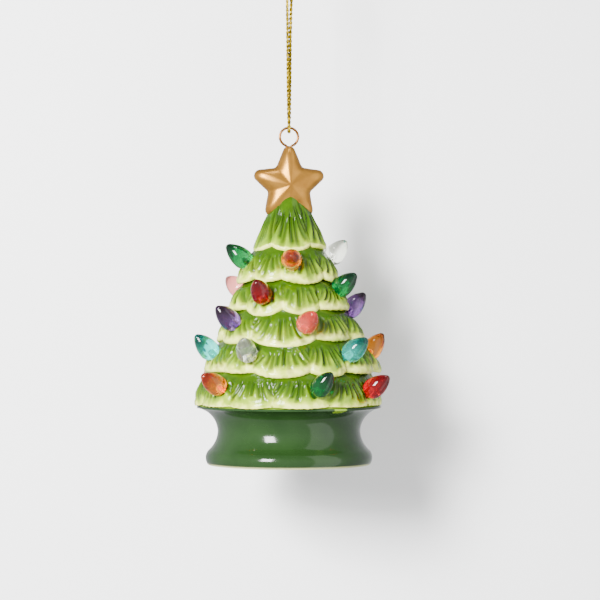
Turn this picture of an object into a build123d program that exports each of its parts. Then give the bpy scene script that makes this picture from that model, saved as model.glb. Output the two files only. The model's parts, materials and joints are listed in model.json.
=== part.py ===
from build123d import *
import math
import os

# Hanging ornament in the form of a glazed ceramic Christmas tree with push-in bulbs.
# Millimetres. The foot of the base is at height 0 and each piece stands on the one below it.
# The parts are moved at the end so that the inside top of the hanging loop is the origin.
# The star faces -Y. Azimuths run from the front, positive towards +X.

# Base, in heights above the foot
seat_height = 17.6
rim_radius = 27.6
rim_edge = 0.6
rim_flare_hollow = 1.6
waist_radius = 21.4
waist_height = 10.2
waist_hollow = 0.65
belly_top_radius = 23.9
belly_top_height = 4.5
belly_bulge = 0.9
foot_radius = 24.3
foot_ring_width = 3.4
foot_recess = 1.2
base_wall = 2.6
base_floor = 3.8
drain_hole_diameter = 9.0
spigot_height = 2.5
spigot_wall = 2.4
spigot_clearance = 0.2
spigot_top_clearance = 0.5

# Tree: six tiers of boughs, from the top tier down, in heights above the seat
bough_gap_heights = (47.4, 37.7, 28.7, 20.0, 10.4, 0.9)
bough_gap_radii = (10.3, 14.1, 17.0, 20.5, 25.0, 27.6)
root_radii = (9.2, 12.2, 16.0, 19.3, 23.6)
root_rise = 0.5
root_ledge = 0.5
bough_swell = 0.3
lip_thickness = 1.7
lip_undercuts = (0.7, 0.7, 0.7, 0.7, 0.7, 0.2)
needle_spacing = 1.6
needle_height = 0.4
needle_cut_depth = 0.4
needle_end_shares = (0.72, 0.25)
tip_rise = 18.0
tip_radius = 2.3
plain_tip_length = 9.0
wall_thickness = 2.4
roof_thickness = 6.0
seat_width = 4.6

# Azimuths of the gaps between the boughs of each tier
bough_gap_angles = (
    (-40, 32, 104, 176, 248),
    (-56, -17, 40, 92, 144, 198, 252),
    (-57, -14, 25, 90, 129, 170, 214, 258),
    (-83, -41, 16, 54, 99, 144, 188, 232),
    (-58, -33, 7, 35, 73, 111, 149, 188, 226, 264),
    (-47, -18, 18, 50, 84, 118, 152, 186, 220, 254, 284),
)

# How far each bough, from the first gap on, hangs below the gaps and stands out beyond them
bough_droops = (
    (1.6, 0.8, 1.2, 1.4, 1.6),
    (0.9, 1.5, 1.0, 1.2, 0.9, 1.3, 1.3),
    (2.1, 1.5, 0.2, 1.4, 1.0, 1.7, 1.2, 0.4),
    (1.5, 2.7, 0.6, 1.2, 1.6, 1.1, 1.9, 1.3),
    (0.3, 1.5, 1.2, 0.6, 0.8, 1.3, 0.8, 1.4, 1.0, 0.2),
    (0.6, 0.5, 0.3, 0.2, 0.4, 0.5, 0.3, 0.6, 0.4, 0.5, 0.4),
)
bough_reaches = (
    (0.7, 1.1, 0.7, 0.8, 0.6),
    (0.9, 1.0, 1.2, 0.9, 0.8, 1.0, 1.9),
    (1.1, 1.1, 1.6, 0.9, 1.1, 1.0, 1.2, 1.5),
    (1.2, 1.2, 1.1, 2.5, 1.2, 1.0, 1.3, 1.3),
    (0.9, 1.3, 1.4, 1.7, 3.2, 1.6, 1.2, 1.3, 1.1, 0.9),
    (0.7, 0.8, 0.7, 0.5, 0.5, 0.8, 0.6, 0.8, 0.7, 0.8, 0.6),
)

# Star, its middle above the tip of the tree, with radii to the corners before they are rounded
star_rise = 0.6
star_point_radius = 13.4
star_top_point_radius = 14.8
star_gap_radius = 6.6
star_point_rounding = 1.85
star_gap_rounding = 1.5
star_edge_thickness = 2.4
star_shoulder_share = 0.6
star_shoulder_thickness = 7.0
star_thickness = 9.6
star_socket_clearance = 0.2

# Wire eyelet: a ring whose legs bend down into the top point of the star
wire_diameter = 0.75
eyelet_radius = 2.75
eyelet_sink = 3.05
leg_bend_radius = 0.9
leg_length = 6.9
leg_hole_clearance = 0.1
leg_hole_web = 0.2

# Hanging cord, in heights above the eyelet or below the inside top of the loop
cord_diameter = 1.05
hang_length = 59.9
loop_inside_radius = 3.0
loop_straight_length = 6.5
knot_drop = 13.0
knot_turns = 3
knot_turn_overlap = 0.1
knot_turn_bite = 0.08
knot_tilt_angle = 14
strand_gap = 0.11
strand_bend = 4.0
cord_end_bend = 2.0
cord_end_gap = 0.8
cord_to_wire_gap = 0.3
cord_channel_clearance = 0.05

# Bulbs
bulb_diameter = 6.1
bulb_flat_diameter = 4.2
bulb_taper_length = 5.9
bulb_taper_end_diameter = 1.7
peg_diameter = 3.0
peg_length = 4.0
peg_clearance = 0.05
peg_hole_overrun = 3.0
bulb_seat_clearance = 0.3
bulb_way_out = 16.0

# The bulbs of the second tier and those below it
bulb_names = (
    ("green", "orange", "clear", "red"),
    ("pink", "red", "green", "aqua"),
    ("purple_left", "coral", "purple_right", "green", "amber"),
    ("aqua_left", "clear", "aqua_right", "amber", "red", "purple"),
    ("orange", "green", "red", "clear", "aqua", "pink"),
)

# Azimuths of their holes, and heights of the holes above the gaps of the tier
bulb_hole_angles = (
    (-78, -4.5, 84, 187),
    (-125, -34, 62, 152),
    (-61, 5, 84, 157, 227),
    (-78, -38, 38, 93, 148, 212),
    (-55, 9, 50, 124, 177, 222),
)
bulb_hole_heights = (
    (4.8, 5.4, 5.9, 5.1),
    (5.2, 3.1, 5.5, 4.3),
    (4.0, 3.6, 7.6, 4.2, 4.2),
    (4.8, 4.6, 4.7, 4.4, 4.6, 4.6),
    (4.7, 3.8, 3.5, 3.9, 3.9, 3.9),
)

# Azimuth that each bulb points to, and its angle above level
bulb_turn_angles = (
    (-92, -7, 119, 187),
    (-140, -28, 48, 150),
    (-69, 16, 106, 160, 224),
    (-70, -18, 51, 106, 146, 215),
    (-57, 40, 52, 122, 180, 221),
)
bulb_rise_angles = (
    (40, 10, 43, 36),
    (32, 40, 37, 36),
    (42, 30, 45, 38, 38),
    (45, 39, 38, 51, 40, 40),
    (30, 44, 34, 36, 36, 36),
)

os.makedirs("parts", exist_ok=True)

# Heights of the stacked pieces above the foot
tier_count = len(bough_gap_radii)
gap_heights = [seat_height + rise for rise in bough_gap_heights]
tip_height = gap_heights[0] + tip_rise
plain_tip_height = tip_height - plain_tip_length
star_height = tip_height + star_rise
eyelet_height = star_height + star_top_point_radius + eyelet_radius - eyelet_sink
loop_inside_height = eyelet_height + hang_length
knot_height = loop_inside_height - knot_drop


def keep(shape, name):
    """Writes one node, with the hanging point as its origin."""
    export_step(Pos(0, 0, -loop_inside_height) * shape, f"parts/{name}.step")
    print(name, "volume", round(shape.volume, 2), "solids", len(shape.solids()))


def at(radius, azimuth, height):
    """A point at an azimuth from the front of the tree."""
    angle = math.radians(azimuth)
    return Vector(radius * math.sin(angle), -radius * math.cos(angle), height)


# Hanging cord: one length from the knot, down round the eyelet, up through the knot,
# round the hanging loop and back into the knot
cord_radius = cord_diameter / 2
wire_radius = wire_diameter / 2
bight_radius = wire_radius + cord_radius + cord_to_wire_gap
bight_low = eyelet_height + eyelet_radius - bight_radius
loop_top = loop_inside_height + cord_radius
loop_straight_height = loop_inside_height - loop_straight_length
loop_radius = loop_inside_radius + cord_radius
knot_turn_pitch = cord_diameter - knot_turn_overlap
knot_half_height = knot_turn_pitch * (knot_turns - 1) / 2 + cord_radius
strand_offset = (cord_diameter + strand_gap) / 2
cord_points = (
    (-strand_offset, 0, knot_height - cord_end_gap / 2),
    (0, -bight_radius, bight_low),
    (0, bight_radius, bight_low),
    (strand_offset, 0, knot_height + knot_half_height),
    (loop_radius, 0, loop_straight_height),
    (loop_radius, 0, loop_top),
    (-loop_radius, 0, loop_top),
    (-loop_radius, 0, loop_straight_height),
    (-strand_offset, 0, knot_height + knot_half_height),
    (-strand_offset, 0, knot_height + cord_end_gap / 2),
)
bight_bend = bight_radius * 0.96
loop_bend = loop_radius * 0.98
cord_bends = (
    bight_bend,
    bight_bend,
    strand_bend,
    strand_bend,
    loop_bend,
    loop_bend,
    strand_bend,
    cord_end_bend,
)
cord_line = FilletPolyline(*cord_points, radius=cord_bends)
cord_start = Plane(origin=cord_line @ 0, z_dir=cord_line % 0)
cord_loop = sweep(cord_start * Circle(cord_radius), path=cord_line)
cord_by_length = math.pi * cord_radius**2 * cord_line.length
print("cord length", round(cord_line.length, 2), "bends", cord_bends)
print("cord volume", round(cord_loop.volume, 2), "section times length", round(cord_by_length, 2))
keep(cord_loop, "cord_loop")

# Knot: turns of the same cord drawn tight round the strands
knot_turn_radius = strand_offset + cord_diameter - knot_turn_bite
cord_knot = None
for turn in range(knot_turns):
    turn_height = knot_height + (turn - (knot_turns - 1) / 2) * knot_turn_pitch
    turn_tilt = knot_tilt_angle if turn % 2 == 0 else -knot_tilt_angle
    ring = Pos(0, 0, turn_height) * Rot(turn_tilt, 0, 0) * Torus(knot_turn_radius, cord_radius)
    cord_knot = ring if cord_knot is None else cord_knot + ring
channel_radius = cord_radius + cord_channel_clearance
cord_knot -= sweep(cord_start * Circle(channel_radius), path=cord_line)
keep(cord_knot, "cord_knot")

# Wire eyelet: the ring runs into a bend on each side, and the bend into a straight leg
leg_x = (wire_diameter + 2 * leg_hole_clearance + leg_hole_web) / 2
bend_x = leg_x + leg_bend_radius
bend_drop = math.sqrt((eyelet_radius + leg_bend_radius) ** 2 - bend_x**2)
bend_height = eyelet_height - bend_drop
ring_end_angle = math.degrees(math.atan2(-bend_drop, bend_x))
leg_end_height = eyelet_height - leg_length
with BuildLine(Plane.XZ) as eyelet_line:
    CenterArc((0, eyelet_height), eyelet_radius, ring_end_angle, -2 * ring_end_angle + 180)
    for side in (1, -1):
        bend_start = 180 + ring_end_angle if side == 1 else -ring_end_angle
        bend_turn = -ring_end_angle if side == 1 else ring_end_angle
        CenterArc((side * bend_x, bend_height), leg_bend_radius, bend_start, bend_turn)
        Line((side * leg_x, bend_height), (side * leg_x, leg_end_height))
eyelet_path = eyelet_line.wire()
eyelet_start = Plane(origin=eyelet_path @ 0, z_dir=eyelet_path % 0)
hanger_wire = sweep(eyelet_start * Circle(wire_radius), path=eyelet_path)
keep(hanger_wire, "hanger_wire")


# Star: a puffed five-pointed star, ridged on both faces, that sits astride the tip of the tree
def star_outline(share, depth):
    """The rounded star outline at a share of its full size, on a plane facing the front."""
    corners = []
    for point in range(5):
        reach = star_top_point_radius if point == 0 else star_point_radius
        turn = math.radians(90 + 72 * point)
        corners.append((reach * share * math.cos(turn), reach * share * math.sin(turn)))
        turn = math.radians(126 + 72 * point)
        gap = star_gap_radius * share
        corners.append((gap * math.cos(turn), gap * math.sin(turn)))
    outline = make_face(Polyline(*corners, close=True))
    middle_radius = (star_gap_radius + star_point_radius) / 2 * share
    points = [v for v in outline.vertices() if Vector(v).length > middle_radius]
    gaps = [v for v in outline.vertices() if Vector(v).length <= middle_radius]
    outline = fillet(points, star_point_rounding * share)
    gaps = [v for v in outline.vertices() if any((Vector(v) - Vector(g)).length < 1e-4 for g in gaps)]
    outline = fillet(gaps, star_gap_rounding * share)
    return Plane((0, -depth, star_height), x_dir=(1, 0, 0), z_dir=(0, -1, 0)) * outline


star_topper = extrude(star_outline(1, -star_edge_thickness / 2), star_edge_thickness)
for front in (1, -1):
    edge = star_outline(1, front * star_edge_thickness / 2)
    shoulder = star_outline(star_shoulder_share, front * star_shoulder_thickness / 2)
    peak = Vertex(0, -front * star_thickness / 2, star_height)
    star_topper += loft([edge, shoulder], ruled=True)
    star_topper += loft([shoulder, peak], ruled=True)

# Socket in the star for the tip of the tree, and the holes for the eyelet's legs
tip_slope = (bough_gap_radii[0] - tip_radius) / (tip_rise - lip_thickness)
socket_low = star_height - star_point_radius
socket_low_radius = tip_radius + tip_slope * (tip_height - socket_low) + star_socket_clearance
socket = Plane.XZ * make_face(
    Polyline(
        (0, socket_low),
        (socket_low_radius, socket_low),
        (tip_radius + star_socket_clearance, tip_height),
        (0, tip_height),
        close=True,
    )
)
star_topper -= revolve(socket, Axis.Z)
star_topper -= sweep(eyelet_start * Circle(wire_radius + leg_hole_clearance), path=eyelet_path)
keep(star_topper, "star_topper")


# Tree: each tier is a lofted ring of drooping boughs with a thick lip.
# The boughs differ in droop and reach. Their needles stand up, with cuts between them, from one of the
# given shares of the way up the bough to the other.
def bough_ring(tier, gap_radius, gap_height, reach_share=0, droop_share=0, needles=False):
    """A closed line round the boughs, each low and proud at its middle, with or without needles."""
    gaps = bough_gap_angles[tier]
    points = []
    for bough, start in enumerate(gaps):
        end = gaps[bough + 1] if bough + 1 < len(gaps) else gaps[0] + 360
        lip_width = math.radians(end - start) * bough_gap_radii[tier]
        steps = 2 * max(2, round(lip_width / needle_spacing))
        for step in range(steps):
            across = step / steps
            needle = 0
            if needles:
                needle = -needle_cut_depth if step % 2 == 0 else needle_height
            hang = 4 * across * (1 - across)
            radius = gap_radius + reach_share * bough_reaches[tier][bough] * hang + needle
            height = gap_height - droop_share * bough_droops[tier][bough] * hang
            points.append(at(radius, start + across * (end - start), height))
    return Polyline(*points, close=True).wire()


tier_tops = [tip_height]
tier_top_radii = [tip_radius]
for tier in range(tier_count - 1):
    tier_tops.append(gap_heights[tier] + root_rise)
    tier_top_radii.append(root_radii[tier])
mean_reaches = [sum(reaches) / len(reaches) for reaches in bough_reaches]
mean_droops = [sum(droops) / len(droops) for droops in bough_droops]
mean_lip_heights = [gap_heights[tier] - mean_droops[tier] + lip_thickness for tier in range(tier_count)]


def bough_radius(tier, height):
    """Radius of the swelling line down the boughs of a tier, between its root and its lip."""
    lip_radius = bough_gap_radii[tier] + mean_reaches[tier]
    share = (tier_tops[tier] - height) / (tier_tops[tier] - mean_lip_heights[tier])
    return tier_top_radii[tier] + share * (lip_radius - tier_top_radii[tier]) + bough_swell


tree_casting = None
for tier in range(tier_count):
    gap_radius = bough_gap_radii[tier]
    gap_height = gap_heights[tier]
    lip_top = gap_height + lip_thickness
    lip_under = gap_radius - lip_undercuts[tier]
    rings = [bough_ring(tier, tier_top_radii[tier], tier_tops[tier])]
    slope_top = tier_tops[tier]
    if tier == 0:
        plain_radius = tip_radius + tip_slope * plain_tip_length
        rings.append(bough_ring(tier, plain_radius, plain_tip_height))
        slope_top = plain_tip_height
    for share in needle_end_shares:
        height = mean_lip_heights[tier] + share * (slope_top - mean_lip_heights[tier])
        radius = bough_radius(tier, height) - (1 - share) * mean_reaches[tier]
        rings.append(bough_ring(tier, radius, height, 1 - share, 0, True))
    rings.append(bough_ring(tier, gap_radius, lip_top, 1, 1))
    rings.append(bough_ring(tier, lip_under, gap_height, 1, 1))
    if tier + 1 < tier_count:
        rings.append(bough_ring(tier, tier_top_radii[tier + 1] + root_ledge, tier_tops[tier + 1]))
    else:
        rings.append(bough_ring(tier, lip_under - lip_undercuts[tier], seat_height))
    boughs = Solid.make_loft(rings, ruled=True)
    tree_casting = boughs if tree_casting is None else tree_casting + boughs

# Hollow of the casting, following the roots of the tiers at the wall thickness
seat_radius = bough_gap_radii[-1] - 2 * lip_undercuts[-1]
hollow_mouth_radius = seat_radius - seat_width
hollow_points = [(0, seat_height - spigot_height)]
hollow_points.append((hollow_mouth_radius, seat_height - spigot_height))
hollow_points.append((hollow_mouth_radius, seat_height + spigot_height + spigot_top_clearance))
for tier in range(tier_count - 1, 0, -1):
    hollow_points.append((tier_top_radii[tier] - wall_thickness, tier_tops[tier]))
hollow_points.append((tip_radius, tip_height - roof_thickness))
hollow_points.append((0, tip_height - roof_thickness))
tree_casting -= revolve(Plane.XZ * make_face(Polyline(*hollow_points, close=True)), Axis.Z)

# Bulbs: a peg, a flat shoulder, a round belly and a tapering end
bulb_radius = bulb_diameter / 2
flat_radius = bulb_flat_diameter / 2
peg_radius = peg_diameter / 2
taper_end_radius = bulb_taper_end_diameter / 2
belly_rise = math.sqrt(bulb_radius**2 - flat_radius**2)
taper_fall = bulb_radius - taper_end_radius
taper_arc_radius = (bulb_taper_length**2 + taper_fall**2) / (2 * taper_fall)
taper_angle = math.asin(bulb_taper_length / taper_arc_radius)
end_radius = taper_end_radius / math.cos(taper_angle)
end_centre = belly_rise + bulb_taper_length - end_radius * math.sin(taper_angle)
end_middle = (taper_angle + math.pi / 2) / 2
belly_middle = math.atan2(belly_rise, flat_radius) / 2
half_taper = taper_angle / 2
taper_centre = bulb_radius - taper_arc_radius
with BuildSketch(Plane.XZ) as bulb_section:
    with BuildLine():
        Polyline((0, 0), (0, -peg_length), (peg_radius, -peg_length), (peg_radius, 0), (flat_radius, 0))
        ThreePointArc(
            (flat_radius, 0),
            (bulb_radius * math.cos(belly_middle), belly_rise - bulb_radius * math.sin(belly_middle)),
            (bulb_radius, belly_rise),
        )
        ThreePointArc(
            (bulb_radius, belly_rise),
            (
                taper_centre + taper_arc_radius * math.cos(half_taper),
                belly_rise + taper_arc_radius * math.sin(half_taper),
            ),
            (taper_end_radius, belly_rise + bulb_taper_length),
        )
        ThreePointArc(
            (taper_end_radius, belly_rise + bulb_taper_length),
            (end_radius * math.cos(end_middle), end_centre + end_radius * math.sin(end_middle)),
            (0, end_centre + end_radius),
        )
        Line((0, end_centre + end_radius), (0, 0))
    make_face()
bulb = revolve(bulb_section.sketch, Axis.Z)

# The space a bulb needs in the casting: the peg's hole, the spot face and the way out
bulb_seat_radius = bulb_radius + bulb_seat_clearance
seat_flat_radius = math.sqrt(bulb_seat_radius**2 - belly_rise**2)
seat_middle = math.atan2(belly_rise, seat_flat_radius) / 2
hole_radius = peg_radius + peg_clearance
hole_end = peg_length + peg_hole_overrun
with BuildSketch(Plane.XZ) as seat_section:
    with BuildLine():
        Polyline((0, 0), (0, -hole_end), (hole_radius, -hole_end), (hole_radius, 0), (seat_flat_radius, 0))
        ThreePointArc(
            (seat_flat_radius, 0),
            (bulb_seat_radius * math.cos(seat_middle), belly_rise - bulb_seat_radius * math.sin(seat_middle)),
            (bulb_seat_radius, belly_rise),
        )
        Polyline((bulb_seat_radius, belly_rise), (bulb_seat_radius, bulb_way_out), (0, bulb_way_out), (0, 0))
    make_face()
bulb_space = revolve(seat_section.sketch, Axis.Z)

spaces = []
for row, names in enumerate(bulb_names):
    tier = row + 1
    for place, name in enumerate(names):
        height = gap_heights[tier] + bulb_hole_heights[row][place]
        mouth = at(bough_radius(tier, height), bulb_hole_angles[row][place], height)
        rise = math.radians(bulb_rise_angles[row][place])
        axis = at(math.cos(rise), bulb_turn_angles[row][place], math.sin(rise))
        bulb_plane = Plane(origin=mouth, z_dir=axis)
        spaces.append(bulb_plane * bulb_space)
        keep(bulb_plane * bulb, f"bulb_{tier + 1}_{name}")
tree_casting -= spaces
keep(tree_casting, "tree_casting")

# Base: a slip-cast dish with a flared rim, a waist and a rounded belly over the foot ring.
# A spigot stands up inside the tree and the tree's flat seat rests on the rim.
foot_inner = foot_radius - foot_ring_width
spigot_radius = hollow_mouth_radius - spigot_clearance
spigot_inner = spigot_radius - spigot_wall
with BuildSketch(Plane.XZ) as base_section:
    with BuildLine():
        Polyline(
            (drain_hole_diameter / 2, foot_recess),
            (foot_inner - foot_recess, foot_recess),
            (foot_inner, 0),
            (foot_radius, 0),
        )
        SagittaArc((foot_radius, 0), (belly_top_radius, belly_top_height), -belly_bulge)
        SagittaArc((belly_top_radius, belly_top_height), (waist_radius, waist_height), waist_hollow)
        SagittaArc((waist_radius, waist_height), (rim_radius, seat_height - rim_edge), rim_flare_hollow)
        Polyline(
            (rim_radius, seat_height - rim_edge),
            (rim_radius, seat_height),
            (spigot_radius, seat_height),
            (spigot_radius, seat_height + spigot_height),
            (spigot_inner, seat_height + spigot_height),
            (spigot_inner, seat_height - base_wall),
            (waist_radius - base_wall, waist_height),
            (waist_radius - base_wall, base_floor),
            (drain_hole_diameter / 2, base_floor),
            (drain_hole_diameter / 2, foot_recess),
        )
    make_face()
base_casting = revolve(base_section.sketch, Axis.Z)
keep(base_casting, "base_casting")
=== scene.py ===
import json
import math

import bmesh
import bpy
from mathutils import Matrix, Vector, kdtree, noise

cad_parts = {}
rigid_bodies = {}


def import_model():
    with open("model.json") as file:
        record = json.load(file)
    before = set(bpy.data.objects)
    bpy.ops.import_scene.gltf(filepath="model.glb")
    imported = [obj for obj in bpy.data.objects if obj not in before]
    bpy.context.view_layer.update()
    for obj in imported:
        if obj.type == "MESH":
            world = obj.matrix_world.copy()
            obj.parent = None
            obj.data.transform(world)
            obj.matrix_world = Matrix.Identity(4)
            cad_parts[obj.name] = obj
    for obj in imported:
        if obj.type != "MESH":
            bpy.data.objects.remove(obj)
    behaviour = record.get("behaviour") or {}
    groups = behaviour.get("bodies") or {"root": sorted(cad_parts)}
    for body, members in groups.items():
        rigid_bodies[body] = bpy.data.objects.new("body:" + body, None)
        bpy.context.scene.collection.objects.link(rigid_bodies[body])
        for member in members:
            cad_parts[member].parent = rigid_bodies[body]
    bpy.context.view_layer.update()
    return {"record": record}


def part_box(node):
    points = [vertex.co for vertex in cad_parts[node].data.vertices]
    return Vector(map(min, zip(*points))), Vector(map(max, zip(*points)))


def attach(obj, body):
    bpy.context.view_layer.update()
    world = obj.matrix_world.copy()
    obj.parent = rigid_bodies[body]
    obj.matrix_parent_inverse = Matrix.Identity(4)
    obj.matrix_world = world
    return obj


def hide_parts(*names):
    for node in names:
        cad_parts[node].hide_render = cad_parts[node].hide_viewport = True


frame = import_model()


# Hanging cord.
# Twisted gold metallic thread, about a millimetre thick, doubled through the eyelet. One length
# runs from the knot down round the eyelet, up through the knot, round the loop and back to the knot.
MM = 0.001
CORD_DIAMETER = 1.05 * MM
CORD_ROUTE = (
    (-0.00058, 0, -0.0134),
    (-0.00039, -0.00095, -0.0520),
    (0, -0.0012, -0.05835),
    (0, 0.0012, -0.05835),
    (0.00039, 0.00095, -0.0520),
    (0.00058, 0, -0.011525),
    (0.003525, 0, -0.0065),
    (0.003525, 0, 0.000525),
    (-0.003525, 0, 0.000525),
    (-0.003525, 0, -0.0065),
    (-0.00058, 0, -0.011525),
    (-0.00058, 0, -0.0126),
)
PLY_COUNT = 2
PLY_RADIUS = 0.29 * MM
PLY_PITCH = 2.7 * MM


def linear(hex_colour):
    """An sRGB hex colour as linear RGBA."""
    values = [int(hex_colour[i : i + 2], 16) / 255 for i in (1, 3, 5)]
    return [v / 12.92 if v <= 0.04045 else ((v + 0.055) / 1.055) ** 2.4 for v in values] + [1]


def add_node(tree, kind, settings=None, stops=None, **inputs):
    """Adds a shader node. An input is a value or a socket to link; i3 is the fourth input, _ a space."""
    node = tree.nodes.new(kind)
    for key, value in (settings or {}).items():
        setattr(node, key, value)
    for key, value in inputs.items():
        socket = node.inputs[int(key[1:])] if key[1:].isdigit() else node.inputs[key.replace("_", " ")]
        if isinstance(value, bpy.types.NodeSocket):
            tree.links.new(value, socket)
        else:
            socket.default_value = value
    if stops:
        ramp = node.color_ramp.elements
        while len(ramp) < len(stops):
            ramp.new(1.0)
        for element, (position, colour) in zip(ramp, stops):
            element.position = position
            element.color = linear(colour)
    return node


def new_material(name, **shader):
    """A material with one Principled shader; its node tree and that shader come with it."""
    material = bpy.data.materials.new(name)
    material.use_nodes = True
    surface = material.node_tree.nodes["Principled BSDF"]
    for key, value in shader.items():
        surface.inputs[key.replace("_", " ")].default_value = value
    return material, material.node_tree, surface


def evaluated_mesh(curve):
    """The mesh of a curve, without keeping the curve."""
    holder = bpy.data.objects.new("line", curve)
    bpy.context.scene.collection.objects.link(holder)
    mesh = bpy.data.meshes.new_from_object(holder.evaluated_get(bpy.context.evaluated_depsgraph_get()))
    bpy.data.objects.remove(holder)
    return mesh


def twisted_cord(name, line):
    """Plies of thread twisted round a line, as one mesh."""
    curve = bpy.data.curves.new(name, "CURVE")
    curve.dimensions = "3D"
    curve.bevel_depth = PLY_RADIUS
    curve.bevel_resolution = 2
    curve.use_fill_caps = True
    plies = [curve.splines.new("POLY") for _ in range(PLY_COUNT)]
    for spline in plies:
        spline.points.add(len(line) - 1)
    lay_radius = CORD_DIAMETER / 2 - PLY_RADIUS
    along = (line[1] - line[0]).normalized()
    side = along.orthogonal().normalized()
    travelled = 0
    for i, place in enumerate(line):
        ahead = (line[min(i + 1, len(line) - 1)] - line[max(i - 1, 0)]).normalized()
        side = (along.rotation_difference(ahead) @ side).normalized()
        along = ahead
        if i:
            travelled += (place - line[i - 1]).length
        for ply, spline in enumerate(plies):
            turn = math.tau * (travelled / PLY_PITCH + ply / PLY_COUNT)
            spline.points[i].co = (*(place + Matrix.Rotation(turn, 3, along) @ side * lay_radius), 1)
    mesh = evaluated_mesh(curve)
    mesh.name = name
    return mesh


def add_piece(name, mesh, material, body, node):
    """Puts a finished mesh in the scene, on its body and in place of its CAD node."""
    piece = bpy.data.objects.new(name, mesh)
    mesh.materials.clear()
    mesh.materials.append(material)
    mesh.shade_smooth()
    bpy.context.scene.collection.objects.link(piece)
    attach(piece, body)
    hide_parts(node)
    return piece


# The line of the cord, read back from a smooth spline along its route
route = bpy.data.curves.new("cord_route", "CURVE")
route.dimensions = "3D"
route.resolution_u = 100
spline = route.splines.new("NURBS")
spline.points.add(len(CORD_ROUTE) - 1)
for point, place in zip(spline.points, CORD_ROUTE):
    point.co = (*place, 1)
spline.order_u = 3
spline.use_endpoint_u = True
cord_line = [vertex.co.copy() for vertex in evaluated_mesh(route).vertices]

# Metallised film wound on thread: bright gold with dark gaps where the turns meet
gold_thread, tree, surface = new_material("gold_thread", Metallic=0.8, Roughness=0.3)
place = add_node(tree, "ShaderNodeTexCoord").outputs["Object"]
glints = add_node(tree, "ShaderNodeTexNoise", Vector=place, Scale=1 / (0.6 * MM), Detail=2.0)
tone = add_node(
    tree,
    "ShaderNodeValToRGB",
    Fac=glints.outputs["Fac"],
    stops=((0.38, "#3A3004"), (0.5, "#A88A0A"), (0.66, "#E0C424")),
)
tree.links.new(tone.outputs["Color"], surface.inputs["Base Color"])
mesh = twisted_cord("gold_cord", cord_line)
cord = add_piece("gold_cord", mesh, gold_thread, "hanging_cord", "cord_loop")


# Knot.
# The same cord drawn tight round both strands, where its two ends meet. It carries the whole
# weight, so its turns lie close together and a little crossed.
KNOT_HEIGHT = -13.0 * MM
KNOT_TURNS = 3
KNOT_RADIUS = 1.5 * MM
KNOT_PITCH = 0.855 * MM
KNOT_CROSSING = 0.25 * MM
KNOT_STEPS = 40

knot_line = []
for step in range(KNOT_TURNS * KNOT_STEPS):
    turn = step / KNOT_STEPS
    angle = math.tau * turn
    rise = (turn - KNOT_TURNS / 2) * KNOT_PITCH + KNOT_CROSSING * math.sin(angle)
    around = (KNOT_RADIUS * math.sin(angle), -KNOT_RADIUS * math.cos(angle))
    knot_line.append(Vector((*around, KNOT_HEIGHT + rise)))
mesh = twisted_cord("cord_knot_turns", knot_line)
knot = add_piece("cord_knot_turns", mesh, gold_thread, "hanging_cord", "cord_knot")


# Wire eyelet.
# A ring bent from copper-plated wire, its two legs glued into the top point of the star.
copper_wire, tree, surface = new_material("copper_plated_wire", Metallic=1.0, Roughness=0.28)
place = add_node(tree, "ShaderNodeTexCoord").outputs["Object"]
drawn = add_node(tree, "ShaderNodeTexNoise", Vector=place, Scale=1 / (1.2 * MM), Detail=2.0)
tone = add_node(
    tree, "ShaderNodeValToRGB", Fac=drawn.outputs["Fac"], stops=((0.3, "#8E5828"), (0.7, "#BC824A"))
)
tree.links.new(tone.outputs["Color"], surface.inputs["Base Color"])
eyelet = bpy.data.objects["hanger_wire"]
eyelet.data.materials.clear()
eyelet.data.materials.append(copper_wire)
eyelet.data.shade_smooth()


# Star.
# A puffed ceramic star with a crisp ridge out to each point, rounded over at the edge and coated in
# satin gold lustre after the glaze firing. It stands astride the tip of the tree. Sizes are in mm,
# and the height of the star's middle is above the foot of the base.
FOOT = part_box("base_casting")[0].z
STAR_HEIGHT = 83.6
STAR_POINT = 13.4
STAR_TOP_POINT = 14.8
STAR_GAP = 6.6
STAR_POINT_ROUNDING = 1.85
STAR_GAP_ROUNDING = 1.5
STAR_PEAK = 4.8
STAR_SLOPE = 0.42
STAR_PEAK_ROUNDING = 0.1
STAR_ROW_CROWDING = 1.6
STAR_EDGE_POWER = 6
STAR_LUMP_SPACING = 5
STAR_LUMP_HEIGHT = 0.1
STAR_LUMP_SEED = 1


def star_reach(angle):
    """Distance in mm from the star's middle to its rounded outline, at an angle from the top point."""
    turn = abs((angle + math.pi / 5) % (math.tau / 5) - math.pi / 5)
    top = abs((angle + math.pi) % math.tau - math.pi) < math.pi / 5
    point = STAR_TOP_POINT if top else STAR_POINT
    half = math.pi / 5
    lean = math.atan2(STAR_GAP * math.sin(half), point - STAR_GAP * math.cos(half))
    middle = point - STAR_POINT_ROUNDING / math.sin(lean)
    end = math.atan2(STAR_POINT_ROUNDING * math.cos(lean), middle + STAR_POINT_ROUNDING * math.sin(lean))
    if turn < end:
        return middle * math.cos(turn) + math.sqrt(STAR_POINT_ROUNDING**2 - (middle * math.sin(turn)) ** 2)
    lean += half
    middle = STAR_GAP + STAR_GAP_ROUNDING / math.sin(lean)
    past = STAR_GAP + STAR_GAP_ROUNDING * math.cos(lean) ** 2 / math.sin(lean)
    end = math.atan2(STAR_GAP_ROUNDING * math.cos(lean), past)
    back = half - turn
    if back < end:
        return middle * math.cos(back) - math.sqrt(STAR_GAP_ROUNDING**2 - (middle * math.sin(back)) ** 2)
    return point * STAR_GAP * math.sin(half) / (point * math.sin(turn) + STAR_GAP * math.sin(back))


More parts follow.
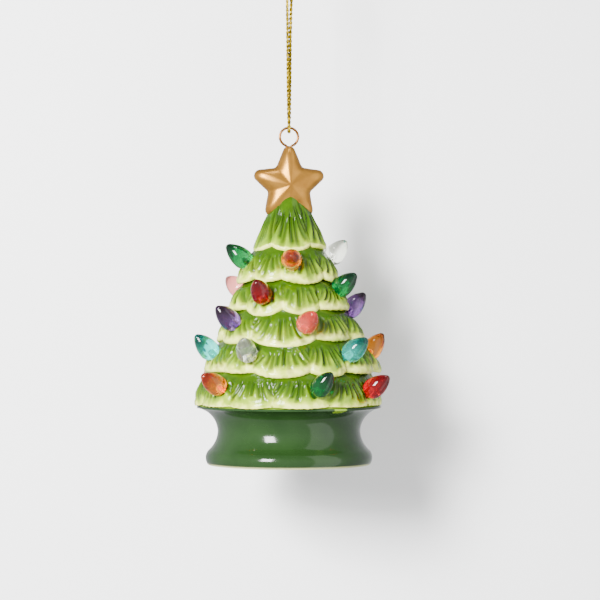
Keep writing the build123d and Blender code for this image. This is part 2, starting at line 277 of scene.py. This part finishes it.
# Both faces fall from a peak to a rolled edge, on rows of points that crowd towards the edge
noise.seed_set(STAR_LUMP_SEED)
bm = bmesh.new()
bmesh.ops.create_uvsphere(bm, u_segments=240, v_segments=72, radius=1)
for vert in bm.verts:
    angle = math.atan2(vert.co.x, vert.co.y)
    ring = 1 - math.asin(min(1, abs(vert.co.z))) / (math.pi / 2)
    share = 1 - (1 - ring) ** STAR_ROW_CROWDING
    slope = math.sqrt(share**2 + STAR_PEAK_ROUNDING**2) - STAR_PEAK_ROUNDING
    depth = STAR_PEAK * (1 - STAR_SLOPE * slope) * math.sqrt(1 - share**STAR_EDGE_POWER)
    reach = star_reach(angle) * share
    side = math.copysign(depth, -vert.co.z)
    vert.co = Vector((reach * math.sin(angle), side, reach * math.cos(angle)))
    vert.co += noise.noise_vector(vert.co / STAR_LUMP_SPACING) * STAR_LUMP_HEIGHT
    vert.co = vert.co * MM + Vector((0, 0, FOOT + STAR_HEIGHT * MM))
bmesh.ops.recalc_face_normals(bm, faces=bm.faces[:])
mesh = bpy.data.meshes.new("star")
bm.to_mesh(mesh)
bm.free()

# Satin gold lustre, cloudy where it was brushed on
gold_lustre, tree, surface = new_material("gold_lustre", Metallic=0.9, Roughness=0.36)
place = add_node(tree, "ShaderNodeTexCoord").outputs["Object"]
clouds = add_node(tree, "ShaderNodeTexNoise", Vector=place, Scale=1 / (4 * MM), Detail=3.0)
tone = add_node(
    tree, "ShaderNodeValToRGB", Fac=clouds.outputs["Fac"], stops=((0.3, "#A8742E"), (0.7, "#C68E3C"))
)
tree.links.new(tone.outputs["Color"], surface.inputs["Base Color"])
add_piece("gold_star", mesh, gold_lustre, "ornament", "star_topper")


# Tree.
# Slip-cast earthenware in six tiers of drooping boughs, the needles cut into the wet clay. The glaze
# runs off the lips and pools in the cuts and under each tier, so edges are cream and hollows green;
# under each lip that green is also darkened as painted shade from the lip above.
# Sizes are in mm, and heights are above the foot of the base.
TIERS = (
    # gap height, gap radius, root height, root radius,
    # azimuths of the gaps in degrees, droop of each bough, reach of each bough
    (
        65.0, 10.3, 83.0, 2.3,
        (-40, 32, 104, 176, 248),
        (1.6, 0.8, 1.2, 1.4, 1.6),
        (0.7, 1.1, 0.7, 0.8, 0.6),
    ),
    (
        55.3, 14.1, 65.5, 9.2,
        (-56, -17, 40, 92, 144, 198, 252),
        (0.9, 1.5, 1.0, 1.2, 0.9, 1.3, 1.3),
        (0.9, 1.0, 1.2, 0.9, 0.8, 1.0, 1.9),
    ),
    (
        46.3, 17.0, 55.8, 12.2,
        (-57, -14, 25, 90, 129, 170, 214, 258),
        (2.1, 1.5, 0.2, 1.4, 1.0, 1.7, 1.2, 0.4),
        (1.1, 1.1, 1.6, 0.9, 1.1, 1.0, 1.2, 1.5),
    ),
    (
        37.6, 20.5, 46.8, 16.0,
        (-83, -41, 16, 54, 99, 144, 188, 232),
        (1.5, 2.7, 0.6, 1.2, 1.6, 1.1, 1.9, 1.3),
        (1.2, 1.2, 1.1, 2.5, 1.2, 1.0, 1.3, 1.3),
    ),
    (
        28.0, 25.0, 38.1, 19.3,
        (-58, -33, 7, 35, 73, 111, 149, 188, 226, 264),
        (0.3, 1.5, 1.2, 0.6, 0.8, 1.3, 0.8, 1.4, 1.0, 0.2),
        (0.9, 1.3, 1.4, 1.7, 3.2, 1.6, 1.2, 1.3, 1.1, 0.9),
    ),
    (
        18.5, 27.6, 28.5, 23.6,
        (-47, -18, 18, 50, 84, 118, 152, 186, 220, 254, 284),
        (0.6, 0.5, 0.3, 0.2, 0.4, 0.5, 0.3, 0.6, 0.4, 0.5, 0.4),
        (0.7, 0.8, 0.7, 0.5, 0.5, 0.8, 0.6, 0.8, 0.7, 0.8, 0.6),
    ),
)
SEAT_HEIGHT = 17.6
LIP_CURL = (
    # inwards from the lip, upwards from its lower edge, share up the bough
    (1.6, 0.5, -0.35),
    (1.1, 0.12, -0.22),
    (0.65, 0.0, -0.14),
    (0.28, 0.2, -0.08),
    (0.06, 0.6, -0.03),
    (0.0, 1.05, 0.0),
    (0.1, 1.55, 0.04),
    (0.32, 2.05, 0.08),
)
BOUGH_ROWS = 16
COLUMN_SPACING = 0.2
UNDERCUT = 0.3
LOWEST_LIP_TUCK = 0.15
LOWEST_LIP_DROP = 0.25
SCALLOP_HEIGHT = 0.16
BOUGH_SWELL = 0.6
CREASE_WIDTH = 0.8
LIP_CREASE = 0.25
BOUGH_CREASE = 0.4
CLAY_LUMP_SPACING = 4.5
CLAY_LUMP_HEIGHT = 0.18
NEEDLE_HEIGHT = 0.4
CUT_SPACING = 1.6
CUT_DEPTH = 0.4
LIP_CUT_SHARE = 0.7
CUT_MIDDLE = 0.45
CUT_FAN = 0.8
CUT_FADE = 0.07
CUT_HALF_WIDTH = 0.5
BOUGH_SEEDS = 31

# Each cut has its own value within these spans. Start and stop are shares of the way up the bough,
# shift and lean are in cut spacings, and strength is a share of the full depth.
CUT_START = (-0.06, 0.2)
CUT_STOP = (0.52, 0.76)
CUT_SHIFT = (-0.25, 0.25)
CUT_LEAN = (-0.9, 0.9)
CUT_STRENGTH = (0.55, 1.0)


def bough_at(gaps, azimuth):
    """The bough of a tier that an azimuth falls in, the share across it and its width in degrees."""
    ends = (*gaps[1:], gaps[0] + 360)
    for bough, (start, end) in enumerate(zip(gaps, ends)):
        turn = (azimuth - start) % 360
        if turn < end - start:
            return bough, turn / (end - start), end - start
    return 0, 0.0, ends[0] - gaps[0]


def scatter(span, *numbers):
    """A value within a span that looks random and is always the same for the same numbers."""
    share = 0.5 + 0.5 * noise.cell(Vector([7.31 * n + 0.5 for n in numbers]))
    return span[0] + (span[1] - span[0]) * share


def needle_cut(bough, across, width, share):
    """Depth from 0 to 1 of the cuts between needles, which fan out from the root of a bough."""
    count = max(2, round(width / CUT_SPACING))
    slot = (0.5 + (across - 0.5) * (1 + CUT_FAN * (share - CUT_MIDDLE))) * count
    cut = 0.0
    for needle in range(math.floor(slot) - 1, math.floor(slot) + 3):
        shift = scatter(CUT_SHIFT, bough, needle, 1)
        lean = scatter(CUT_LEAN, bough, needle, 2)
        low = scatter(CUT_START, bough, needle, 3)
        high = scatter(CUT_STOP, bough, needle, 4)
        if low < share < high:
            ends = min(1, (share - low) / CUT_FADE, (high - share) / CUT_FADE)
            near = abs(slot - needle - shift - lean * (share - CUT_MIDDLE)) / CUT_HALF_WIDTH
            strength = scatter(CUT_STRENGTH, bough, needle, 5)
            cut = max(cut, strength * ends * max(0, 1 - near**2))
    return cut


bm = bmesh.new()
share_layer = bm.verts.layers.float.new("share")
cut_layer = bm.verts.layers.float.new("cut")
rows = len(LIP_CURL) + BOUGH_ROWS
for index, (gap_height, gap_radius, root_height, root_radius, gaps, droops, reaches) in enumerate(TIERS):
    below = TIERS[index + 1] if index + 1 < len(TIERS) else None
    under = (below[3] + UNDERCUT, below[2]) if below else (gap_radius - UNDERCUT, SEAT_HEIGHT)
    tuck = 1 if below else LOWEST_LIP_TUCK
    columns = round(math.tau * gap_radius / COLUMN_SPACING)
    sheet = bmesh.ops.create_grid(bm, x_segments=columns, y_segments=rows, size=0.5)
    for vert in sheet["verts"]:
        azimuth = vert.co.x * 360
        row = round((vert.co.y + 0.5) * rows)
        bough, across, degrees = bough_at(gaps, azimuth)
        width = math.radians(degrees) * gap_radius
        seed = index * BOUGH_SEEDS + bough
        hang = 1 - abs(2 * across - 1) ** 2.2
        lip_radius = gap_radius + reaches[bough] * hang
        lip_height = gap_height - droops[bough] * hang
        crease = math.exp(-((min(across, 1 - across) * width / CREASE_WIDTH) ** 2))
        cut = 0.0
        if row == 0:
            radius, height = under
            # The underside of each lip takes the lowest share and so the darkest of the low greens, as
            # painted shade.
            share = -0.6
        elif row <= len(LIP_CURL):
            inwards, upwards, share = LIP_CURL[row - 1]
            radius = lip_radius - inwards * (tuck if share < 0 else 1)
            scallop = noise.noise(Vector((azimuth * gap_radius / 60, index * 5, 0)))
            height = lip_height + upwards
            height += SCALLOP_HEIGHT * scallop - (0 if below else LOWEST_LIP_DROP)
            if share > -0.1:
                cut = LIP_CUT_SHARE * needle_cut(seed, across, width, share)
                radius -= LIP_CREASE * crease + CUT_DEPTH * cut
        else:
            rise = (row - len(LIP_CURL)) / BOUGH_ROWS
            share = LIP_CURL[-1][2] + (1 - LIP_CURL[-1][2]) * rise
            start_radius = lip_radius - LIP_CURL[-1][0]
            start_height = lip_height + LIP_CURL[-1][1]
            swell = BOUGH_SWELL * math.sqrt(max(0, math.sin(math.pi * rise))) if index else 0
            radius = start_radius + (root_radius - start_radius) * rise + swell
            height = start_height + (root_height - start_height) * rise
            stroke = share * 1.05 if index == 0 else share
            cut = needle_cut(seed, across, width, stroke)
            top = 0.7 + 0.05 * noise.noise(Vector((azimuth * gap_radius / 90, index * 7, 3)))
            proud = max(0, min(1, (stroke - 0.1) / 0.15, (top - stroke) / 0.08))
            radius += NEEDLE_HEIGHT * proud * (1 - cut) - CUT_DEPTH * cut
            radius -= BOUGH_CREASE * crease * max(0, min(1, (0.8 - share) * 3))
        turn = math.radians(azimuth)
        outward = Vector((math.sin(turn), -math.cos(turn), 0))
        vert.co = outward * radius + Vector((0, 0, height))
        vert.co += outward * (CLAY_LUMP_HEIGHT * noise.noise(vert.co / CLAY_LUMP_SPACING))
        vert[share_layer] = min(0.72, 0.15 + 1.1 * share) if index == 0 and share > 0 else share
        vert[cut_layer] = max(cut, 0.6 * crease * (0.15 < share < 0.8))
bmesh.ops.remove_doubles(bm, verts=bm.verts[:], dist=0.001)
for vert in bm.verts:
    vert.co = vert.co * MM + Vector((0, 0, FOOT))

# The clay gives way round each bulb: a dish a little wider than the bulb, open along its axis,
# with a hole for the peg. Both take the pale lip colour, a painted glow of light let through the
# bulb, which keeps the bulbs over them bright.
PEG_LENGTH = 4.0 * MM
PEG_END_BAND = 0.01 * MM
PEG_HOLE = 1.62 * MM
HOLE_EDGE = 0.32 * MM
HOLE_DEPTH = PEG_LENGTH + 0.1 * MM
DISH_FLOOR = -0.05 * MM
BELLY_RISE = 2.212 * MM
DISH_RADIUS = 3.35 * MM
WAY_OUT = 16 * MM

verts = bm.verts[:]
finder = kdtree.KDTree(len(verts))
for number, vert in enumerate(verts):
    finder.insert(vert.co, number)
finder.balance()
bulbs = {}
for joint in frame["record"]["behaviour"]["joints"]:
    if joint["type"] != "slide":
        continue
    axis = Vector(joint["axis"]).normalized()
    places = [vertex.co for vertex in bpy.data.objects[joint["child"]].data.vertices]
    lowest = min(place.dot(axis) for place in places)
    peg_end = [place for place in places if place.dot(axis) < lowest + PEG_END_BAND]
    seat = sum(peg_end, Vector()) / len(peg_end) + axis * PEG_LENGTH
    bulbs[joint["child"]] = (seat, axis)
    for _, number, _ in finder.find_range(seat + axis * WAY_OUT / 2, WAY_OUT):
        vert = verts[number]
        along = (vert.co - seat).dot(axis)
        away = vert.co - seat - axis * along
        if away.length >= DISH_RADIUS or along > WAY_OUT:
            continue
        dish = max(DISH_FLOOR, BELLY_RISE - math.sqrt(DISH_RADIUS**2 - away.length_squared))
        if along <= dish:
            continue
        if along - dish < DISH_RADIUS - away.length:
            vert.co -= axis * (along - dish)
            # Painted light: the pale lip colour here stands for light let through the bulb.
            vert[share_layer] = 0.0
            vert[cut_layer] = 0.0
            if abs(away.length - PEG_HOLE) < HOLE_EDGE:
                vert.co += away.normalized() * (PEG_HOLE - away.length)
            if away.length < PEG_HOLE:
                vert.co -= axis * HOLE_DEPTH
        else:
            vert.co += away.normalized() * (DISH_RADIUS - away.length)
bmesh.ops.recalc_face_normals(bm, faces=bm.faces[:])
mesh = bpy.data.meshes.new("boughs")
bm.to_mesh(mesh)
bm.free()

# Coloured glaze: glassy, cream where it has run thin off the lips, deep green where it has pooled,
# with painted shade on the lip undersides and at the roots under each lip, and shifted towards the
# deeper greens low down on the tree
# The glaze colours shift towards the deeper greens from the first height down, fully by the second.
SHIFT_BELOW = 30 * MM
FULL_SHIFT_AT = 24 * MM

bough_glaze, tree, surface = new_material("bough_glaze", Roughness=0.14, IOR=1.52, Specular_IOR_Level=0.4)
place = add_node(tree, "ShaderNodeTexCoord").outputs["Object"]
share = add_node(tree, "ShaderNodeAttribute", {"attribute_name": "share"}).outputs["Fac"]
cut = add_node(tree, "ShaderNodeAttribute", {"attribute_name": "cut"}).outputs["Fac"]
clouds = add_node(tree, "ShaderNodeTexNoise", Vector=place, Scale=1 / (3.2 * MM), Detail=3.0).outputs["Fac"]
shift = add_node(
    tree, "ShaderNodeMapRange", Value=clouds, From_Min=0.3, From_Max=0.7, To_Min=-0.12, To_Max=0.12
)
run = add_node(tree, "ShaderNodeMath", {"operation": "ADD"}, i0=share, i1=shift.outputs["Result"])
height = add_node(tree, "ShaderNodeSeparateXYZ", Vector=place).outputs["Z"]
low_shift = add_node(
    tree,
    "ShaderNodeMapRange",
    Value=height,
    From_Min=FOOT + SHIFT_BELOW,
    From_Max=FOOT + FULL_SHIFT_AT,
    To_Max=0.13,
)
coat = add_node(
    tree, "ShaderNodeMath", {"operation": "ADD"}, i0=run.outputs["Value"], i1=low_shift.outputs["Result"]
)
level = add_node(tree, "ShaderNodeMapRange", Value=coat.outputs["Value"], From_Min=-0.4, From_Max=1.0)
# Painted shade: the low end of these colours, on the lip undersides, and the dark greens at the roots,
# under the lip above, stand for shade as well as pooled glaze.
glaze_and_shade = add_node(
    tree,
    "ShaderNodeValToRGB",
    Fac=level.outputs["Result"],
    stops=(
        (0.0, "#587210"),
        (0.14, "#7C9420"),
        (0.22, "#BCC84E"),
        (0.29, "#D8DE70"),
        (0.35, "#B0C03C"),
        (0.42, "#829C18"),
        (0.54, "#5E7C08"),
        (0.66, "#446200"),
        (0.76, "#2E4C00"),
        (0.86, "#284200"),
        (1.0, "#304C02"),
    ),
)
deep = add_node(tree, "ShaderNodeValToRGB", Fac=clouds, stops=((0.35, "#122402"), (0.7, "#243E02")))
glaze = add_node(
    tree, "ShaderNodeMix", {"data_type": "RGBA"}, i0=cut, i6=glaze_and_shade.outputs["Color"], i7=deep.outputs["Color"]
)
tree.links.new(glaze.outputs[2], surface.inputs["Base Color"])
add_piece("tree_boughs", mesh, bough_glaze, "ornament", "tree_casting")


# Base.
# A slip-cast dish under the tree: flared rim, waist and rounded belly, dipped in dark green glaze
# and wiped at the foot, where the bare cream clay shows as a thin line.
WIPED_BELOW = 0.7 * MM
BARE_BELOW = 0.2 * MM

base_glaze, tree, surface = new_material("base_glaze", Roughness=0.12, IOR=1.52, Specular_IOR_Level=0.45)
place = add_node(tree, "ShaderNodeTexCoord").outputs["Object"]
clouds = add_node(tree, "ShaderNodeTexNoise", Vector=place, Scale=1 / (9 * MM), Detail=3.0)
dip = add_node(
    tree, "ShaderNodeValToRGB", Fac=clouds.outputs["Fac"], stops=((0.3, "#152A0E"), (0.7, "#1B3113"))
)
height = add_node(tree, "ShaderNodeSeparateXYZ", Vector=place).outputs["Z"]
wiped = add_node(
    tree, "ShaderNodeMapRange", Value=height, From_Min=FOOT + WIPED_BELOW, From_Max=FOOT + BARE_BELOW
)
foot = add_node(
    tree,
    "ShaderNodeMix",
    {"data_type": "RGBA"},
    i0=wiped.outputs["Result"],
    i6=dip.outputs["Color"],
    i7=linear("#A8A878"),
)

# A dab of the boughs' glaze has run over the rim, right of the middle
DAB_TURN = math.radians(25.7)
DAB_RADIUS = 27.4 * MM
DAB_HEIGHT = 16.9 * MM
DAB_WOBBLE = 2 * MM
DAB_ENDS = 3.5 * MM
DAB_SOLID = 3.0 * MM

dab = (DAB_RADIUS * math.sin(DAB_TURN), -DAB_RADIUS * math.cos(DAB_TURN), FOOT + DAB_HEIGHT)
away = add_node(tree, "ShaderNodeVectorMath", {"operation": "DISTANCE"}, i0=place, i1=dab).outputs["Value"]
wobble = add_node(tree, "ShaderNodeTexNoise", Vector=place, Scale=1 / (1.6 * MM)).outputs["Fac"]
edge = add_node(tree, "ShaderNodeMath", {"operation": "MULTIPLY_ADD"}, i0=wobble, i1=DAB_WOBBLE, i2=away)
dabbed = add_node(
    tree, "ShaderNodeMapRange", Value=edge.outputs["Value"], From_Min=DAB_ENDS, From_Max=DAB_SOLID
)
coat = add_node(
    tree,
    "ShaderNodeMix",
    {"data_type": "RGBA"},
    i0=dabbed.outputs["Result"],
    i6=foot.outputs[2],
    i7=linear("#6E8C16"),
)
tree.links.new(coat.outputs[2], surface.inputs["Base Color"])
base = bpy.data.objects["base_casting"]
base.data.materials.clear()
base.data.materials.append(base_glaze)
base.data.shade_smooth()


# Bulbs.
# Clear tinted polystyrene, moulded in one piece with the peg round a core pin: a round belly that
# draws out to a blunt point, where the colour is deepest, and a hole up the peg. Sizes are in mm.
BULB_RADIUS = 3.05
BULB_FLAT = 2.1
TAPER_LENGTH = 5.9
TAPER_ARC = 9.01
TIP_RADIUS = 1.125
TIP_CENTRE = 7.376
PEG_RADIUS = 1.5
PEG_END = -PEG_LENGTH / MM
COLLAR_RADIUS = 1.6
COLLAR_DROP = 0.05
CORE_RADIUS = 0.7
CORE_SHOULDER = (0.45, 2.25)
CORE_STRAIGHT = 1.8
CORE_TOP = 2.4
BULB_COLOURS = {
    # belly, tip and share of light let through
    "green": ("#007030", "#00381E", 0.84),
    "orange": ("#F08C02", "#982C02", 0.84),
    "clear": ("#F0F2E6", "#D0D4C6", 0.93),
    "red": ("#A8000E", "#740008", 0.82),
    "pink": ("#DC8880", "#D07C74", 0.9),
    "aqua": ("#34CCC0", "#005C58", 0.86),
    "purple": ("#6C4888", "#3A2038", 0.86),
    "coral": ("#F06858", "#C03C30", 0.72),
    "amber": ("#DC8400", "#A05000", 0.92),
}

# Half the section of a bulb, from the end of the core hole round the peg and the belly to the tip
outline = [(0.0, CORE_TOP), CORE_SHOULDER, (CORE_RADIUS, CORE_STRAIGHT), (CORE_RADIUS, PEG_END)]
outline += [(PEG_RADIUS, PEG_END), (PEG_RADIUS, -COLLAR_DROP), (COLLAR_RADIUS, 0.0)]
belly_height = BELLY_RISE / MM
belly_start = math.acos(BULB_FLAT / BULB_RADIUS)
taper_end = math.asin(TAPER_LENGTH / TAPER_ARC)
for step in range(9):
    angle = -belly_start * (1 - step / 8)
    outline.append((BULB_RADIUS * math.cos(angle), belly_height + BULB_RADIUS * math.sin(angle)))
for step in range(1, 13):
    angle = taper_end * step / 12
    inwards = TAPER_ARC * (1 - math.cos(angle))
    outline.append((BULB_RADIUS - inwards, belly_height + TAPER_ARC * math.sin(angle)))
for step in range(1, 7):
    angle = taper_end + (math.pi / 2 - taper_end) * step / 6
    outline.append((TIP_RADIUS * math.cos(angle), TIP_CENTRE + TIP_RADIUS * math.sin(angle)))

# Tinted plastic, deeper towards the tip, with faint swirls left by the moulding
plastics = {}
for colour, (belly_tint, tip_tint, clearness) in BULB_COLOURS.items():
    plastics[colour], tree, surface = new_material(
        f"{colour}_polystyrene", Roughness=0.04, IOR=1.5, Transmission_Weight=clearness
    )
    place = add_node(tree, "ShaderNodeTexCoord").outputs["Object"]
    tip = add_node(tree, "ShaderNodeAttribute", {"attribute_name": "tip"}).outputs["Fac"]
    swirl = add_node(tree, "ShaderNodeTexNoise", Vector=place, Scale=1 / (2.5 * MM), Detail=1.0)
    flow = add_node(
        tree,
        "ShaderNodeMapRange",
        Value=swirl.outputs["Fac"],
        From_Min=0.3,
        From_Max=0.7,
        To_Min=-0.12,
        To_Max=0.12,
    )
    level = add_node(tree, "ShaderNodeMath", {"operation": "ADD"}, i0=tip, i1=flow.outputs["Result"])
    tone = add_node(
        tree,
        "ShaderNodeValToRGB",
        Fac=level.outputs["Value"],
        stops=((0.35, belly_tint), (0.85, tip_tint)),
    )
    tree.links.new(tone.outputs["Color"], surface.inputs["Base Color"])

# Each bulb is turned from that section and set on the seat found for it in the boughs
for name, (seat, axis) in bulbs.items():
    colour = name.split("_")[2]
    bm = bmesh.new()
    tip_layer = bm.verts.layers.float.new("tip")
    line = [bm.verts.new((radius, 0, height)) for radius, height in outline]
    for vert in line:
        vert[tip_layer] = max(0, vert.co.z / (TIP_CENTRE + TIP_RADIUS))
    edges = [bm.edges.new(pair) for pair in zip(line, line[1:])]
    bmesh.ops.spin(
        bm, geom=line + edges, cent=(0, 0, 0), axis=(0, 0, 1), angle=math.tau, steps=48, use_merge=True
    )
    bmesh.ops.remove_doubles(bm, verts=bm.verts[:], dist=1e-4)
    turned = axis.to_track_quat("Z", "Y").to_matrix().to_4x4()
    seated = Matrix.Translation(seat) @ turned @ Matrix.Scale(MM, 4)
    bmesh.ops.transform(bm, matrix=seated, verts=bm.verts[:])
    bmesh.ops.recalc_face_normals(bm, faces=bm.faces[:])
    mesh = bpy.data.meshes.new(f"{name}_moulding")
    bm.to_mesh(mesh)
    bm.free()
    add_piece(f"{name}_moulding", mesh, plastics[colour], name, name)


# Studio.
# The ornament hangs close in front of a pale grey wall, lit by a soft key light and its spill from the
# left, with a white card and a tall window on the right and a pale table below. The wall, spill, card
# and table are kept out of reflections, and the window is seen in reflections alone.
WALL_BEHIND = 46 * MM
WALL_HALF_WIDTH = 260 * MM
CAMERA_AZIMUTH = math.radians(-8)
CAMERA_AWAY = 700 * MM
CAMERA_HEIGHT = 49.2 * MM
CAMERA_RIGHT = 3.3 * MM
AIM_HEIGHT = 50 * MM

forward = Vector((-math.sin(CAMERA_AZIMUTH), math.cos(CAMERA_AZIMUTH), 0))
right = Vector((forward.y, -forward.x, 0))

bm = bmesh.new()
bmesh.ops.create_grid(bm, x_segments=1, y_segments=1, size=WALL_HALF_WIDTH)
facing = forward.to_track_quat("-Z", "Y").to_matrix().to_4x4()
bmesh.ops.transform(bm, matrix=Matrix.Translation(forward * WALL_BEHIND) @ facing, verts=bm.verts[:])
mesh = bpy.data.meshes.new("wall")
bm.to_mesh(mesh)
bm.free()

# Matt paint, seen only from the side that faces the room
paint, tree, surface = new_material("matt_wall_paint", Roughness=0.9, Specular_IOR_Level=0.1)
place = add_node(tree, "ShaderNodeTexCoord").outputs["Object"]
mottle = add_node(tree, "ShaderNodeTexNoise", Vector=place, Scale=1 / (220 * MM))
tone = add_node(
    tree, "ShaderNodeValToRGB", Fac=mottle.outputs["Fac"], stops=((0.3, "#E2E2E2"), (0.7, "#E8E8E8"))
)
tree.links.new(tone.outputs["Color"], surface.inputs["Base Color"])
behind = add_node(tree, "ShaderNodeNewGeometry").outputs["Backfacing"]
clear_side = add_node(tree, "ShaderNodeBsdfTransparent")
one_sided = add_node(
    tree, "ShaderNodeMixShader", i0=behind, i1=surface.outputs["BSDF"], i2=clear_side.outputs["BSDF"]
)
tree.links.new(one_sided.outputs["Shader"], tree.nodes["Material Output"].inputs["Surface"])
wall = bpy.data.objects.new("studio_wall", mesh)
wall.visible_glossy = False
mesh.materials.append(paint)
bpy.context.scene.collection.objects.link(wall)

# Pale room, lightest at eye level and dimmest overhead
world = bpy.data.worlds.new("studio")
world.use_nodes = True
room = world.node_tree
direction = add_node(room, "ShaderNodeTexCoord").outputs["Generated"]
up = add_node(room, "ShaderNodeSeparateXYZ", Vector=direction).outputs["Z"]
span = add_node(room, "ShaderNodeMapRange", Value=up, From_Min=-1.0, From_Max=1.0)
dome = add_node(
    room,
    "ShaderNodeValToRGB",
    Fac=span.outputs["Result"],
    stops=((0.1, "#D6D8DA"), (0.4, "#E6E8EA"), (0.6, "#E6E8EA"), (0.9, "#9A9C9E")),
)
room.links.new(dome.outputs["Color"], room.nodes["Background"].inputs["Color"])
room.nodes["Background"].inputs["Strength"].default_value = 1.0
bpy.context.scene.world = world


def add_light(name, azimuth, elevation, away, width, height, power):
    """A soft light aimed at the tree, in degrees, metres and watts; azimuths run right from the camera."""
    light = bpy.data.lights.new(name, "AREA")
    light.shape = "RECTANGLE"
    light.size = width
    light.size_y = height
    light.energy = power
    holder = bpy.data.objects.new(name, light)
    turn = math.radians(azimuth)
    rise = math.radians(elevation)
    level_way = right * math.sin(turn) - forward * math.cos(turn)
    back = level_way * math.cos(rise) + Vector((0, 0, math.sin(rise)))
    holder.location = Vector((0, 0, FOOT + AIM_HEIGHT)) + back * away
    holder.rotation_mode = "QUATERNION"
    holder.rotation_quaternion = back.to_track_quat("Z", "Y")
    bpy.context.scene.collection.objects.link(holder)
    return holder


add_light("key_softbox", -31, 17, 0.9, 0.24, 0.38, 20)
add_light("key_spill", -25, 15, 0.6, 0.15, 0.15, 11).visible_glossy = False
add_light("overhead_softbox", 0, 78, 0.8, 0.12, 0.12, 1.2)
add_light("white_card", 58, 2, 0.8, 0.4, 0.9, 2.0).visible_glossy = False
add_light("window", 56, 2, 0.8, 0.6, 2.6, 5.5).visible_diffuse = False
add_light("table_bounce", 10, -50, 0.5, 0.3, 0.3, 1.7).visible_glossy = False

camera = bpy.data.objects.new("camera", bpy.data.cameras.new("camera"))
camera.data.sensor_width = 36
camera.data.lens = 140
camera.data.clip_start = 0.01
camera.location = forward * -CAMERA_AWAY + right * CAMERA_RIGHT + Vector((0, 0, FOOT + CAMERA_HEIGHT))
camera.rotation_mode = "QUATERNION"
camera.rotation_quaternion = forward.to_track_quat("-Z", "Y")
bpy.context.scene.collection.objects.link(camera)
bpy.context.scene.camera = camera
